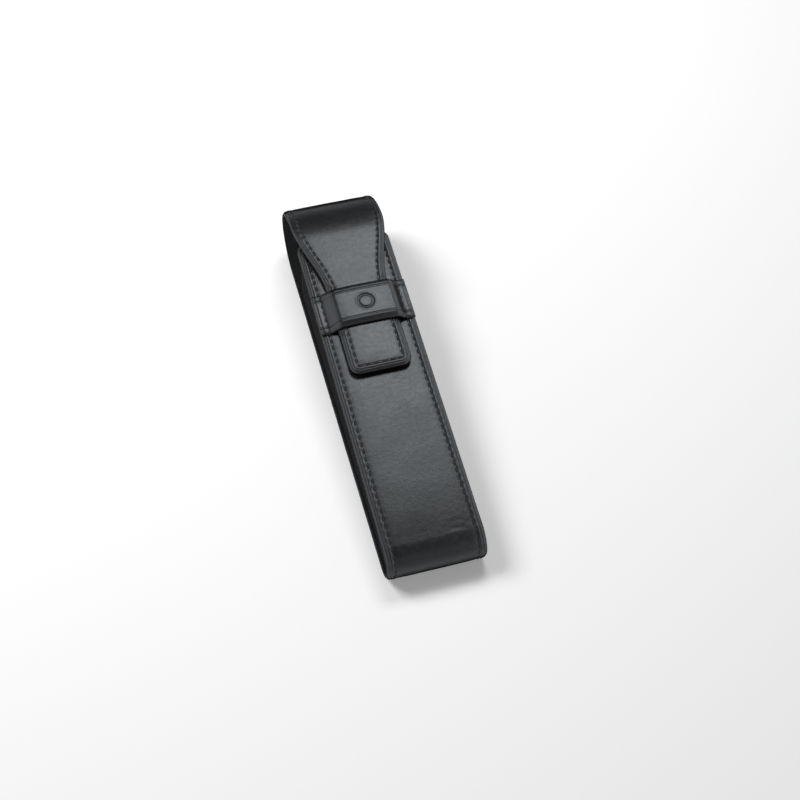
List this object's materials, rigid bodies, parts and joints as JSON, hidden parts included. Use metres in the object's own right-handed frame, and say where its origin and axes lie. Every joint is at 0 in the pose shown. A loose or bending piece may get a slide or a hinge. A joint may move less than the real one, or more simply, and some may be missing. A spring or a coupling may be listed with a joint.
{
  "type": "fountain pen case",
  "caption": "Slim black leather case for a fountain pen, with a rolled end, gusseted sides and a flap whose tongue tucks under a strap.",
  "frame": {"origin": "centre of the footprint, on the face that the case lies on", "axes": "+Y towards the crown, +Z out of the face that carries the strap, +X to the right when the strap faces the viewer and the crown is up"},
  "size_m": [0.0376, 0.1696, 0.0344],
  "materials": {
    "outer_leather": "smooth black calf with a soft sheen",
    "gusset_leather": "thin matt black leather",
    "lining": "black suede-side split leather",
    "board": "bonded leather board",
    "filler": "thin felt"
  },
  "bodies": {
    "case": {"outer_wrap": "outer_leather", "front_board": "board", "back_board": "board", "end_filler": "filler", "wrap_lining": "lining", "left_gusset": "gusset_leather", "right_gusset": "gusset_leather", "left_gusset_lining": "lining", "right_gusset_lining": "lining", "mouth_facing": "gusset_leather", "strap": "outer_leather", "strap_lining": "lining"},
    "crown_upper": {"crown_leather_upper": "outer_leather", "crown_lining_upper": "lining"},
    "crown_front": {"crown_leather_front": "outer_leather", "crown_lining_front": "lining"},
    "flap": {"flap_leather": "outer_leather", "flap_padding": "filler", "tongue_board": "board", "flap_lining": "lining"}
  },
  "joints": [
    {"name": "flap_open", "type": "hinge", "parent": "case", "child": "crown_upper", "pos_m": [0, 0.07727, 0.00221], "axis": [-1, 0, 0], "range_deg": [0, 60]},
    {"name": "crown_bend", "type": "hinge", "parent": "crown_upper", "child": "crown_front", "pos_m": [0, 0.08477, 0.0163], "axis": [-1, 0, 0], "range_deg": [0, 60]},
    {"name": "flap_bend", "type": "hinge", "parent": "crown_front", "child": "flap", "pos_m": [0, 0.07287, 0.03129], "axis": [-1, 0, 0], "range_deg": [0, 60]}
  ],
  "couplings": [
    {"joint": "crown_bend", "follows": "flap_open", "ratio": 1},
    {"joint": "flap_bend", "follows": "flap_open", "ratio": 1}
  ]
}
